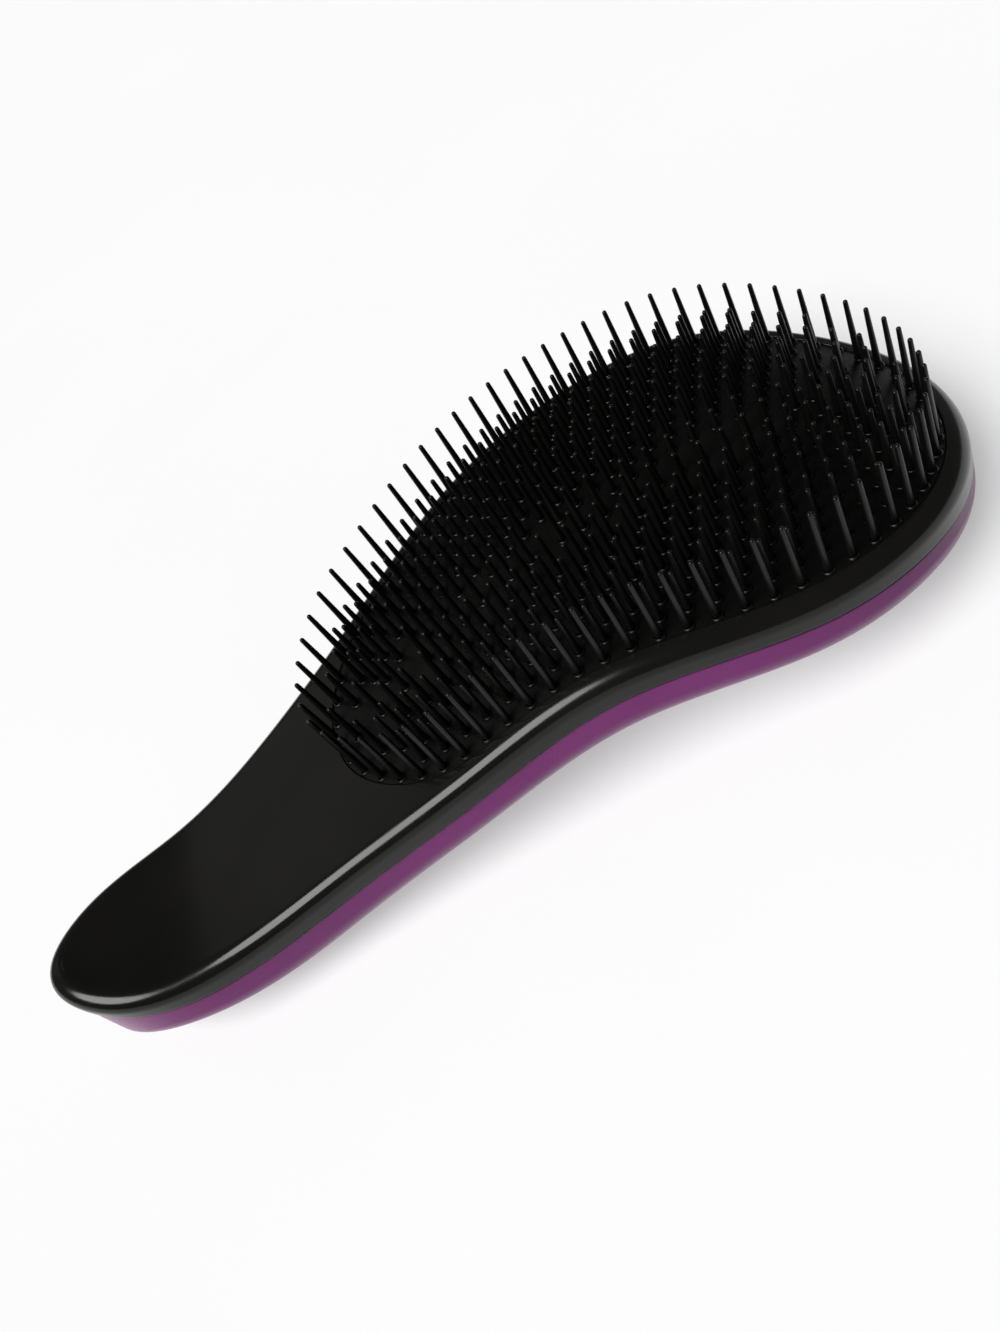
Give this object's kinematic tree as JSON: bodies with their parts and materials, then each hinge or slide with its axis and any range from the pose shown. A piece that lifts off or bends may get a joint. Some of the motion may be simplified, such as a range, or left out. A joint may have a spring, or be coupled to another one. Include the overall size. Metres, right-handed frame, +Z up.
{
  "type": "detangling hair brush",
  "caption": "Handheld detangling hair brush with long and short flexible black bristles, a glossy black front shell with a curved handle and a purple back cover",
  "frame": {"origin": "On the surface that the brush lies on, under the middle of its length and width", "axes": "+X from the handle's end to the tip of the head, +Y across the head, +Z up along the bristles"},
  "size_m": [0.182, 0.0776, 0.0456],
  "materials": {
    "black_shell": "gloss",
    "purple_shell": "gloss",
    "black_bristle": "satin"
  },
  "bodies": {
    "brush": {"front_shell": "black_shell", "back_cover": "purple_shell", "bristle_plate": "black_bristle", "short_bristles": "black_bristle"},
    "row_01": {"bristle_row_01": "black_bristle"},
    "row_02": {"bristle_row_02": "black_bristle"},
    "row_03": {"bristle_row_03": "black_bristle"},
    "row_04": {"bristle_row_04": "black_bristle"},
    "row_05": {"bristle_row_05": "black_bristle"},
    "row_06": {"bristle_row_06": "black_bristle"},
    "row_07": {"bristle_row_07": "black_bristle"},
    "row_08": {"bristle_row_08": "black_bristle"},
    "row_09": {"bristle_row_09": "black_bristle"},
    "row_10": {"bristle_row_10": "black_bristle"},
    "row_11": {"bristle_row_11": "black_bristle"},
    "row_12": {"bristle_row_12": "black_bristle"},
    "row_13": {"bristle_row_13": "black_bristle"},
    "row_14": {"bristle_row_14": "black_bristle"},
    "row_15": {"bristle_row_15": "black_bristle"},
    "row_16": {"bristle_row_16": "black_bristle"},
    "row_17": {"bristle_row_17": "black_bristle"},
    "row_18": {"bristle_row_18": "black_bristle"},
    "row_19": {"bristle_row_19": "black_bristle"},
    "row_20": {"bristle_row_20": "black_bristle"},
    "row_21": {"bristle_row_21": "black_bristle"},
    "row_22": {"bristle_row_22": "black_bristle"},
    "row_23": {"bristle_row_23": "black_bristle"},
    "row_24": {"bristle_row_24": "black_bristle"},
    "row_25": {"bristle_row_25": "black_bristle"},
    "row_26": {"bristle_row_26": "black_bristle"},
    "row_27": {"bristle_row_27": "black_bristle"},
    "row_28": {"bristle_row_28": "black_bristle"},
    "row_29": {"bristle_row_29": "black_bristle"},
    "row_30": {"bristle_row_30": "black_bristle"},
    "row_31": {"bristle_row_31": "black_bristle"},
    "row_32": {"bristle_row_32": "black_bristle"},
    "row_33": {"bristle_row_33": "black_bristle"},
    "row_34": {"bristle_row_34": "black_bristle"}
  },
  "joints": [
    {"name": "bristle_row_01_lean", "type": "hinge", "parent": "brush", "child": "row_01", "pos_m": [-0.02763, 0, 0.02552], "axis": [0, 1, 0], "range_deg": [-15, 15], "stiffness_Nm_per_rad": 0.04},
    {"name": "bristle_row_02_lean", "type": "hinge", "parent": "brush", "child": "row_02", "pos_m": [-0.02652, 0, 0.02573], "axis": [0, 1, 0], "range_deg": [-15, 15], "stiffness_Nm_per_rad": 0.04},
    {"name": "bristle_row_03_lean", "type": "hinge", "parent": "brush", "child": "row_03", "pos_m": [-0.0245, 0, 0.02612], "axis": [0, 1, 0], "range_deg": [-15, 15], "stiffness_Nm_per_rad": 0.06},
    {"name": "bristle_row_04_lean", "type": "hinge", "parent": "brush", "child": "row_04", "pos_m": [-0.02181, 0, 0.02666], "axis": [0, 1, 0], "range_deg": [-15, 15], "stiffness_Nm_per_rad": 0.08},
    {"name": "bristle_row_05_lean", "type": "hinge", "parent": "brush", "child": "row_05", "pos_m": [-0.0186, 0, 0.02734], "axis": [0, 1, 0], "range_deg": [-15, 15], "stiffness_Nm_per_rad": 0.1},
    {"name": "bristle_row_06_lean", "type": "hinge", "parent": "brush", "child": "row_06", "pos_m": [-0.01498, 0, 0.02815], "axis": [0, 1, 0], "range_deg": [-15, 15], "stiffness_Nm_per_rad": 0.12},
    {"name": "bristle_row_07_lean", "type": "hinge", "parent": "brush", "child": "row_07", "pos_m": [-0.01097, 0, 0.02911], "axis": [0, 1, 0], "range_deg": [-15, 15], "stiffness_Nm_per_rad": 0.12},
    {"name": "bristle_row_08_lean", "type": "hinge", "parent": "brush", "child": "row_08", "pos_m": [-0.00677, 0, 0.03013], "axis": [0, 1, 0], "range_deg": [-15, 15], "stiffness_Nm_per_rad": 0.14},
    {"name": "bristle_row_09_lean", "type": "hinge", "parent": "brush", "child": "row_09", "pos_m": [-0.00257, 0, 0.03113], "axis": [0, 1, 0], "range_deg": [-15, 15], "stiffness_Nm_per_rad": 0.14},
    {"name": "bristle_row_10_lean", "type": "hinge", "parent": "brush", "child": "row_10", "pos_m": [0.00163, 0, 0.03201], "axis": [0, 1, 0], "range_deg": [-15, 15], "stiffness_Nm_per_rad": 0.14},
    {"name": "bristle_row_11_lean", "type": "hinge", "parent": "brush", "child": "row_11", "pos_m": [0.00581, 0, 0.0327], "axis": [0, 1, 0], "range_deg": [-15, 15], "stiffness_Nm_per_rad": 0.14},
    {"name": "bristle_row_12_lean", "type": "hinge", "parent": "brush", "child": "row_12", "pos_m": [0.00998, 0, 0.03315], "axis": [0, 1, 0], "range_deg": [-15, 15], "stiffness_Nm_per_rad": 0.16},
    {"name": "bristle_row_13_lean", "type": "hinge", "parent": "brush", "child": "row_13", "pos_m": [0.01411, 0, 0.03329], "axis": [0, 1, 0], "range_deg": [-15, 15], "stiffness_Nm_per_rad": 0.16},
    {"name": "bristle_row_14_lean", "type": "hinge", "parent": "brush", "child": "row_14", "pos_m": [0.01821, 0, 0.03311], "axis": [0, 1, 0], "range_deg": [-15, 15], "stiffness_Nm_per_rad": 0.16},
    {"name": "bristle_row_15_lean", "type": "hinge", "parent": "brush", "child": "row_15", "pos_m": [0.0223, 0, 0.03266], "axis": [0, 1, 0], "range_deg": [-15, 15], "stiffness_Nm_per_rad": 0.18},
    {"name": "bristle_row_16_lean", "type": "hinge", "parent": "brush", "child": "row_16", "pos_m": [0.02639, 0, 0.03201], "axis": [0, 1, 0], "range_deg": [-15, 15], "stiffness_Nm_per_rad": 0.18},
    {"name": "bristle_row_17_lean", "type": "hinge", "parent": "brush", "child": "row_17", "pos_m": [0.03049, 0, 0.0312], "axis": [0, 1, 0], "range_deg": [-15, 15], "stiffness_Nm_per_rad": 0.18},
    {"name": "bristle_row_18_lean", "type": "hinge", "parent": "brush", "child": "row_18", "pos_m": [0.03463, 0, 0.03028], "axis": [0, 1, 0], "range_deg": [-15, 15], "stiffness_Nm_per_rad": 0.2},
    {"name": "bristle_row_19_lean", "type": "hinge", "parent": "brush", "child": "row_19", "pos_m": [0.03882, 0, 0.0293], "axis": [0, 1, 0], "range_deg": [-15, 15], "stiffness_Nm_per_rad": 0.2},
    {"name": "bristle_row_20_lean", "type": "hinge", "parent": "brush", "child": "row_20", "pos_m": [0.04305, 0, 0.02832], "axis": [0, 1, 0], "range_deg": [-15, 15], "stiffness_Nm_per_rad": 0.2},
    {"name": "bristle_row_21_lean", "type": "hinge", "parent": "brush", "child": "row_21", "pos_m": [0.04733, 0, 0.0274], "axis": [0, 1, 0], "range_deg": [-15, 15], "stiffness_Nm_per_rad": 0.2},
    {"name": "bristle_row_22_lean", "type": "hinge", "parent": "brush", "child": "row_22", "pos_m": [0.05162, 0, 0.02656], "axis": [0, 1, 0], "range_deg": [-15, 15], "stiffness_Nm_per_rad": 0.2},
    {"name": "bristle_row_23_lean", "type": "hinge", "parent": "brush", "child": "row_23", "pos_m": [0.05589, 0, 0.02574], "axis": [0, 1, 0], "range_deg": [-15, 15], "stiffness_Nm_per_rad": 0.2},
    {"name": "bristle_row_24_lean", "type": "hinge", "parent": "brush", "child": "row_24", "pos_m": [0.0601, 0, 0.02489], "axis": [0, 1, 0], "range_deg": [-15, 15], "stiffness_Nm_per_rad": 0.2},
    {"name": "bristle_row_25_lean", "type": "hinge", "parent": "brush", "child": "row_25", "pos_m": [0.06419, 0, 0.02397], "axis": [0, 1, 0], "range_deg": [-15, 15], "stiffness_Nm_per_rad": 0.2},
    {"name": "bristle_row_26_lean", "type": "hinge", "parent": "brush", "child": "row_26", "pos_m": [0.06807, 0, 0.02297], "axis": [0, 1, 0], "range_deg": [-15, 15], "stiffness_Nm_per_rad": 0.18},
    {"name": "bristle_row_27_lean", "type": "hinge", "parent": "brush", "child": "row_27", "pos_m": [0.07168, 0, 0.02188], "axis": [0, 1, 0], "range_deg": [-15, 15], "stiffness_Nm_per_rad": 0.18},
    {"name": "bristle_row_28_lean", "type": "hinge", "parent": "brush", "child": "row_28", "pos_m": [0.07495, 0, 0.02075], "axis": [0, 1, 0], "range_deg": [-15, 15], "stiffness_Nm_per_rad": 0.16},
    {"name": "bristle_row_29_lean", "type": "hinge", "parent": "brush", "child": "row_29", "pos_m": [0.07788, 0, 0.01964], "axis": [0, 1, 0], "range_deg": [-15, 15], "stiffness_Nm_per_rad": 0.14},
    {"name": "bristle_row_30_lean", "type": "hinge", "parent": "brush", "child": "row_30", "pos_m": [0.08044, 0, 0.01858], "axis": [0, 1, 0], "range_deg": [-15, 15], "stiffness_Nm_per_rad": 0.12},
    {"name": "bristle_row_31_lean", "type": "hinge", "parent": "brush", "child": "row_31", "pos_m": [0.08262, 0, 0.01763], "axis": [0, 1, 0], "range_deg": [-15, 15], "stiffness_Nm_per_rad": 0.06},
    {"name": "bristle_row_32_lean", "type": "hinge", "parent": "brush", "child": "row_32", "pos_m": [0.08437, 0, 0.01683], "axis": [0, 1, 0], "range_deg": [-15, 15], "stiffness_Nm_per_rad": 0.04},
    {"name": "bristle_row_33_lean", "type": "hinge", "parent": "brush", "child": "row_33", "pos_m": [0.08562, 0, 0.01625], "axis": [0, 1, 0], "range_deg": [-15, 15], "stiffness_Nm_per_rad": 0.04},
    {"name": "bristle_row_34_lean", "type": "hinge", "parent": "brush", "child": "row_34", "pos_m": [0.08629, 0, 0.01593], "axis": [0, 1, 0], "range_deg": [-15, 15], "stiffness_Nm_per_rad": 0.04}
  ],
  "couplings": [
    {"joint": "bristle_row_01_lean", "follows": "bristle_row_18_lean", "ratio": 1},
    {"joint": "bristle_row_02_lean", "follows": "bristle_row_18_lean", "ratio": 1},
    {"joint": "bristle_row_03_lean", "follows": "bristle_row_18_lean", "ratio": 1},
    {"joint": "bristle_row_04_lean", "follows": "bristle_row_18_lean", "ratio": 1},
    {"joint": "bristle_row_05_lean", "follows": "bristle_row_18_lean", "ratio": 1},
    {"joint": "bristle_row_06_lean", "follows": "bristle_row_18_lean", "ratio": 1},
    {"joint": "bristle_row_07_lean", "follows": "bristle_row_18_lean", "ratio": 1},
    {"joint": "bristle_row_08_lean", "follows": "bristle_row_18_lean", "ratio": 1},
    {"joint": "bristle_row_09_lean", "follows": "bristle_row_18_lean", "ratio": 1},
    {"joint": "bristle_row_10_lean", "follows": "bristle_row_18_lean", "ratio": 1},
    {"joint": "bristle_row_11_lean", "follows": "bristle_row_18_lean", "ratio": 1},
    {"joint": "bristle_row_12_lean", "follows": "bristle_row_18_lean", "ratio": 1},
    {"joint": "bristle_row_13_lean", "follows": "bristle_row_18_lean", "ratio": 1},
    {"joint": "bristle_row_14_lean", "follows": "bristle_row_18_lean", "ratio": 1},
    {"joint": "bristle_row_15_lean", "follows": "bristle_row_18_lean", "ratio": 1},
    {"joint": "bristle_row_16_lean", "follows": "bristle_row_18_lean", "ratio": 1},
    {"joint": "bristle_row_17_lean", "follows": "bristle_row_18_lean", "ratio": 1},
    {"joint": "bristle_row_19_lean", "follows": "bristle_row_18_lean", "ratio": 1},
    {"joint": "bristle_row_20_lean", "follows": "bristle_row_18_lean", "ratio": 1},
    {"joint": "bristle_row_21_lean", "follows": "bristle_row_18_lean", "ratio": 1},
    {"joint": "bristle_row_22_lean", "follows": "bristle_row_18_lean", "ratio": 1},
    {"joint": "bristle_row_23_lean", "follows": "bristle_row_18_lean", "ratio": 1},
    {"joint": "bristle_row_24_lean", "follows": "bristle_row_18_lean", "ratio": 1},
    {"joint": "bristle_row_25_lean", "follows": "bristle_row_18_lean", "ratio": 1},
    {"joint": "bristle_row_26_lean", "follows": "bristle_row_18_lean", "ratio": 1},
    {"joint": "bristle_row_27_lean", "follows": "bristle_row_18_lean", "ratio": 1},
    {"joint": "bristle_row_28_lean", "follows": "bristle_row_18_lean", "ratio": 1},
    {"joint": "bristle_row_29_lean", "follows": "bristle_row_18_lean", "ratio": 1},
    {"joint": "bristle_row_30_lean", "follows": "bristle_row_18_lean", "ratio": 1},
    {"joint": "bristle_row_31_lean", "follows": "bristle_row_18_lean", "ratio": 1},
    {"joint": "bristle_row_32_lean", "follows": "bristle_row_18_lean", "ratio": 1},
    {"joint": "bristle_row_33_lean", "follows": "bristle_row_18_lean", "ratio": 1},
    {"joint": "bristle_row_34_lean", "follows": "bristle_row_18_lean", "ratio": 1}
  ]
}
